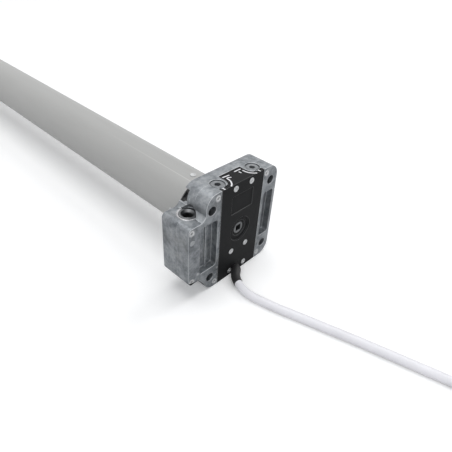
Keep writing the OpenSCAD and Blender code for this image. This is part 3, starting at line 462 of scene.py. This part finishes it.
def eased(name, width_mm, edge=None):
    """A copy of a CAD node with small radii on its sharp edges, as a moulding or casting has."""
    mesh = nodes[name].data.copy()
    bm = bmesh.new()
    bm.from_mesh(mesh)
    bmesh.ops.remove_doubles(bm, verts=bm.verts, dist=WELD)
    bmesh.ops.dissolve_limit(
        bm, angle_limit=FLAT, use_dissolve_boundaries=False, verts=bm.verts, edges=bm.edges
    )
    layers = bm.edges.layers.float
    weight = layers.get("bevel_weight_edge") or layers.new("bevel_weight_edge")
    for e in bm.edges:
        sharp = len(e.link_faces) == 2 and e.calc_face_angle(0) > SHARP
        parting = all(abs(v.co.y - PARTING_Y * MM) < 1e-5 for v in e.verts)
        e.smooth = not sharp
        e[weight] = (PARTING_WEIGHT if parting else 1.0) if sharp else 0.0
    for f in bm.faces:
        f.smooth = True
        f.material_index = 0
    bm.to_mesh(mesh)
    bm.free()
    obj = new_object(name + "_finished", mesh)
    mesh.materials.clear()
    mesh.materials.append(finish_of(name))
    if edge:
        mesh.materials.append(edge)
    bevel = obj.modifiers.new("edges", "BEVEL")
    bevel.width = width_mm * MM
    bevel.segments = 2
    bevel.limit_method = "WEIGHT"
    bevel.use_clamp_overlap = False
    # The edge material, where given, paints the bevelled edges lighter: partly wear, partly a painted
    # highlight.
    bevel.material = 1 if edge else -1
    weighted = obj.modifiers.new("normals", "WEIGHTED_NORMAL")
    weighted.keep_sharp = False
    bpy.context.view_layer.objects.active = obj
    for modifier in list(obj.modifiers):
        bpy.ops.object.modifier_apply(modifier=modifier.name)
    return carried(obj, nodes[name]["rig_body"], slot_of[name], name)


bpy.ops.object.select_all(action="DESELECT")
# Width of each node's eased edges in millimetres, and the lighter colour of those edges, which is partly wear
# and partly a painted highlight
EDGE_WIDTHS = {
    "front_casting": (0.28, CAST_EDGE_WEAR_AND_HIGHLIGHT),
    "rear_casting": (0.28, CAST_EDGE_WEAR_AND_HIGHLIGHT),
    "front_cover": (0.25, BLACK_EDGE_WEAR_AND_HIGHLIGHT),
    "cover_screws": (0.15, None),
    "casting_screws": (0.15, None),
    "crank_socket": (0.2, None),
    "worm_bushes": (0.25, None),
    "limit_screw_up": (0.2, None),
    "limit_screw_down": (0.2, None),
    "limit_crown": (0.25, None),
    "tube_rivets": (0.2, None),
    "output_shaft": (0.4, None),
    "output_housing": (0.4, None),
}
for name, (width, edge) in EDGE_WIDTHS.items():
    eased(name, width, edge)


# Boot: a tapered rubber sleeve on the cable's bend
def swept(name, points, radii, sides=40):
    bm = bmesh.new()
    rings = []
    for i, p in enumerate(points):
        along = (points[min(i + 1, len(points) - 1)] - points[max(i - 1, 0)]).normalized()
        across = along.cross(Vector((0, 0, 1))).normalized()
        top = across.cross(along)
        rings.append([
            bm.verts.new(p + radii[i] * (math.cos(a) * across + math.sin(a) * top)) for a in round_turns(sides)
        ])
    loft(bm, rings, True)
    return mesh_object(name, bm)


BOOT_INSIDE = 7.7     # from the cover's front face to the sleeve's hidden end
BOOT_CORNER = 3.0     # length of each leg of the rounded turn
BOOT_STUB_R = 3.5
BOOT_BEND_R = 3.7
BOOT_TAPER = 0.25
BOOT_LIP = 0.12
STUB_STEPS, CORNER_STEPS, BEND_STEPS = 12, 19, 36


def boot_sleeve():
    """Straight in the cover, a rounded turn, then along the bend, thinner towards its end."""
    corner = Vector((NOTCH_X, -BOOT_LEAD, NOTCH_Z))
    bend_length = BEND_R * math.radians(BOOT_ARC)
    stub_length = BOOT_INSIDE + BOOT_LEAD - BOOT_CORNER
    inner = corner + Vector((0, BOOT_CORNER, 0))
    outer = bend_point(BOOT_TURN - math.degrees(BOOT_CORNER / BEND_R), NOTCH_Z)
    points, radii = [], []
    for i in range(STUB_STEPS):
        points.append(inner + Vector((0, stub_length * (1 - i / STUB_STEPS), 0)))
        radii.append(BOOT_STUB_R)
    for i in range(CORNER_STEPS):
        t = i / CORNER_STEPS
        points.append(inner * (1 - t) ** 2 + corner * 2 * t * (1 - t) + outer * t ** 2)
        radii.append(BOOT_STUB_R + (BOOT_BEND_R - BOOT_STUB_R) * t)
    for i in range(BEND_STEPS + 1):
        s = BOOT_CORNER + (bend_length - BOOT_CORNER) * i / BEND_STEPS
        points.append(bend_point(BOOT_TURN - math.degrees(s / BEND_R), NOTCH_Z))
        lip = BOOT_LIP * math.exp(-((s - bend_length + 0.8) / 0.6) ** 2)
        radii.append(BOOT_BEND_R - BOOT_TAPER * i / BEND_STEPS + lip)
    return swept("boot_sleeve", [p * MM for p in points], [r * MM for r in radii])


sleeve = boot_sleeve()
sleeve.data.materials.append(MATERIALS["boot_rubber"])
carried(sleeve, "head", "boot_rubber", "cable_boot")


# Four bare-ended cores at the cable's far end
CORE_COLOURS = {
    "brown": (0.16, 0.06, 0.025),
    "black": (0.015, 0.015, 0.015),
    "blue": (0.02, 0.12, 0.4),
    "green": (0.25, 0.4, 0.04),
}
CORE_LENGTH = 32.0
TIP_LENGTH = 8.0
CORE_OFF = 1.6      # from the cable's middle to a core's
CORE_BEND = 40.0
CORE_R = 1.0
TIP_R = 0.5


def cable_core(tint, colour, angle):
    along = (route[-1] - route[-2]).normalized()
    inward = along.cross(Vector((0, 0, 1)))
    centre = route[-1] + CORE_BEND * MM * inward
    radius_here = CORE_BEND - CORE_OFF * math.cos(angle)
    rise = Vector((0, 0, CORE_OFF * math.sin(angle)))
    lighter = tuple(1.3 * c + 0.01 for c in colour)
    insulation = mottled(f"core_{tint}", colour, lighter, 0.0, (0.35, 0.45))
    runs = (
        ("core", CORE_R, 0.0, CORE_LENGTH, insulation, "core_insulation"),
        ("tip", TIP_R, CORE_LENGTH - 0.5, CORE_LENGTH + TIP_LENGTH, MATERIALS["copper"], "copper"),
    )
    made = []
    for part, radius, s0, s1, material, slot in runs:
        turns = [(s0 + (s1 - s0) * k / 4) / CORE_BEND for k in range(5)]
        points = [
            centre + (radius_here * (math.sin(a) * along - math.cos(a) * inward) + rise) * MM for a in turns
        ]
        piece = cable_curve(f"{part}_{tint}", points, radius * MM, 3, 5)
        piece.data.materials.append(material)
        made.append(carried(piece, "head", slot))
    return made


cores = []
for k, (tint, colour) in enumerate(CORE_COLOURS.items()):
    cores += cable_core(tint, colour, math.radians(45 + 90 * k))
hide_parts("cable_cores")


# Printed marks on the cover's tongue: an arc with an arrow tip beside each dial, and a bar behind them
PRINT_T = 0.07        # half the ink's thickness
ARC_R = 9.4
ARC_FROM, ARC_TO = 5, -62
ARC_W, BAR_W, BARB_W = 1.0, 0.95, 0.9
# Bar and barb for the left and the right dial
MARKS = {
    -1: (((-9.8, 11.6), (-3.7, 10.9)), ((-7.2, 9.4), (-4.8, 7.9))),
    1: (((2.2, 11.7), (8.3, 11.4)), ((4.6, 9.7), (4.8, 7.4))),
}
ARROW_TIPS = (((-19.2, 2.5), (-18.9, 0.0)), ((16.7, 2.3), (17.0, 0.2)))


def stroke(bm, points, width):
    """A flat stroke of ink along points in the top face's plane."""
    rows = []
    for i, p in enumerate(points):
        d = (points[min(i + 1, len(points) - 1)] - points[max(i - 1, 0)]).normalized()
        n = Vector((-d.y, d.x)) * width / 2
        rows.append([Vector((*(p + n), HEAD_H)), Vector((*(p - n), HEAD_H))])
    rise = Vector((0, 0, PRINT_T))
    rings = [[bm.verts.new(v * MM) for v in (a - rise, b - rise, b + rise, a + rise)] for a, b in rows]
    loft(bm, rings, False)


def arc(radius, a0, a1, count=22):
    turns = [math.radians(a0 + (a1 - a0) * k / count) for k in range(count + 1)]
    return [radius * Vector((math.cos(a), math.sin(a))) for a in turns]


def limit_marks():
    bm = bmesh.new()
    for side in (-1, 1):
        dial = Vector((side * DIAL_X, DIAL_Y))
        flip = Vector((-side, 1))
        stroke(bm, [dial + p * flip for p in arc(ARC_R, ARC_FROM, ARC_TO)], ARC_W)
        bar, barb = MARKS[side]
        stroke(bm, [Vector(p) for p in bar], BAR_W)
        stroke(bm, [Vector(p) for p in barb], BARB_W)
    for tip in ARROW_TIPS:
        stroke(bm, [Vector(p) for p in tip], BARB_W)
    obj = mesh_object("limit_marks", bm)
    obj.data.materials.append(PRINT_WHITE)
    return carried(obj, "head", "cover_black")


limit_marks()


# Round marks that the ejector pins leave on the casting's front: x, z and radius
EJECTOR_PINS = ((-47.6, 12.6, 2.1), (-42.2, -18.6, 1.3), (-23.0, -24.5, 1.1), (-24.6, -30.6, 0.9))
# Each mark's section: how far inside its radius, and how far behind the front face
EJECTOR_SECTION = ((0, 0.02), (0.1, -0.1), (0.45, -0.1), (0.6, -0.02), (0.9, -0.02))
EJECTOR_SIDES = 32


def ejector_marks():
    bm = bmesh.new()
    for x, z, r in EJECTOR_PINS:
        rings = []
        for inset, y in EJECTOR_SECTION:
            reach = r - inset
            rings.append([
                bm.verts.new(Vector((x + reach * math.cos(a), y, z + reach * math.sin(a))) * MM)
                for a in round_turns(EJECTOR_SIDES)
            ])
        loft(bm, rings, True)
    obj = mesh_object("ejector_marks", bm)
    obj.data.materials.append(CAST_EDGE_WEAR_AND_HIGHLIGHT)
    return carried(obj, "head", "die_cast")


ejector_marks()


# Floor, lamps and background
FLOOR_HALF = 8.0      # metres
FLOOR_GAP = 0.0001    # metres under the head, so that the two faces don't meet
FLOOR_GLOW = 0.1      # added for the camera only


def floor_material():
    """Pale paper that the camera sees as white where it is lit, and that keeps the shadows."""
    material, tree, shader, vector = blank_material("floor_paper")
    speckle = place_group(tree, "mottled", vector, Dark=(0.78, 0.78, 0.78), Light=(0.8, 0.8, 0.8),
                          Patch_Scale=3.0, Grain_Scale=400.0, Rough_Low=0.85, Rough_High=0.95)
    path = tree.nodes.new("ShaderNodeLightPath")
    seen = add_mix(tree, path.outputs["Is Camera Ray"], speckle["Color"], (1.0, 1.0, 1.0))
    tree.links.new(seen, shader.inputs["Base Color"])
    tree.links.new(speckle["Roughness"], shader.inputs["Roughness"])
    shader.inputs["Specular IOR Level"].default_value = 0.1
    shader.inputs["Emission Color"].default_value = (1, 1, 1, 1)
    glow = add_math(tree, "MULTIPLY", path.outputs["Is Camera Ray"], FLOOR_GLOW)
    tree.links.new(glow, shader.inputs["Emission Strength"])
    return material


def add_floor():
    bm = bmesh.new()
    z = FLOOR_Z * MM - FLOOR_GAP
    corners = ((-1, -1), (1, -1), (1, 1), (-1, 1))
    bm.faces.new([bm.verts.new((x * FLOOR_HALF, y * FLOOR_HALF, z)) for x, y in corners])
    mesh = bpy.data.meshes.new("floor")
    bm.to_mesh(mesh)
    bm.free()
    obj = new_object("floor", mesh)
    mesh.materials.append(floor_material())


add_floor()


def area_lamp(name, at, size, power):
    data = bpy.data.lights.new(name, "AREA")
    data.shape = "RECTANGLE"
    data.size, data.size_y = size
    data.energy = power
    obj = new_object(name, data)
    obj.location = at
    obj.rotation_euler = (-Vector(at)).to_track_quat("-Z", "Y").to_euler()


# Place and size in metres, power in watts
area_lamp("key", (2.0, -0.1, 2.3), (1.5, 1.5), 24)
area_lamp("fill", (-2.2, -1.2, 1.6), (2.0, 1.6), 22)
area_lamp("top", (0.0, 0.3, 3.2), (2.4, 2.4), 50)


WORLD_LIGHT = 0.36


def studio_world():
    """Soft light on the object, and plain white for the camera, gloss and glass."""
    world = bpy.data.worlds.new("studio")
    scene.world = world
    world.use_nodes = True
    tree = world.node_tree
    tree.nodes.clear()
    out = tree.nodes.new("ShaderNodeOutputWorld")
    soft = tree.nodes.new("ShaderNodeBackground")
    soft.inputs["Color"].default_value = (0.9, 0.92, 0.95, 1)
    soft.inputs["Strength"].default_value = WORLD_LIGHT
    white = tree.nodes.new("ShaderNodeBackground")
    white.inputs["Color"].default_value = (1, 1, 1, 1)
    path = tree.nodes.new("ShaderNodeLightPath")
    seen = add_math(tree, "MAXIMUM", path.outputs["Is Camera Ray"], path.outputs["Is Glossy Ray"])
    seen = add_math(tree, "MAXIMUM", seen, path.outputs["Is Transmission Ray"])
    choose = tree.nodes.new("ShaderNodeMixShader")
    tree.links.new(seen, choose.inputs["Fac"])
    tree.links.new(soft.outputs[0], choose.inputs[1])
    tree.links.new(white.outputs[0], choose.inputs[2])
    tree.links.new(choose.outputs[0], out.inputs["Surface"])


studio_world()
scene.view_settings.view_transform = "Standard"
